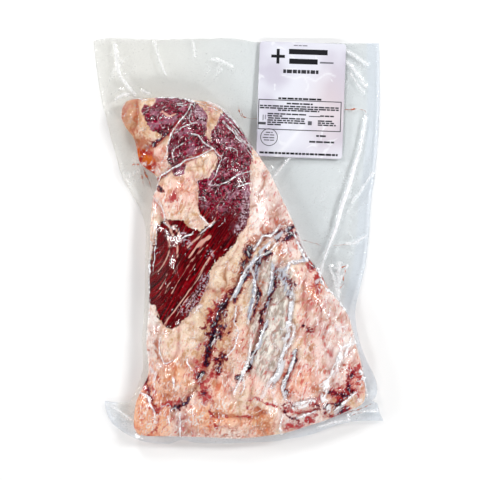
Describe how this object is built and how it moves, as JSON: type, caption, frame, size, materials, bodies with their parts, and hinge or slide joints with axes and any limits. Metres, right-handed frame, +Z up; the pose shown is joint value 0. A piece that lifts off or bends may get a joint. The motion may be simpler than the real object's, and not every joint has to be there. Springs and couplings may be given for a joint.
{
  "type": "vacuum-packed raw beef tri-tip",
  "caption": "Raw beef tri-tip roast with its fat cap, sealed skin tight in a clear vacuum pouch with a paper label, lying flat.",
  "frame": {"origin": "centre of the bounding box's base, on the surface that the pack lies on", "axes": "+X across the pouch towards its label side, +Y up along the pouch towards the label, +Z up through its thickness"},
  "size_m": [0.256, 0.3576, 0.0423],
  "materials": {
    "meat_in_film": "wet red lean, cream and pink fat under clear glossy film",
    "label_paper": "white coated paper with plain dark print"
  },
  "bodies": {
    "root": {"vacuum_packed_tri_tip": "meat_in_film", "label": "label_paper"}
  },
  "joints": []
}
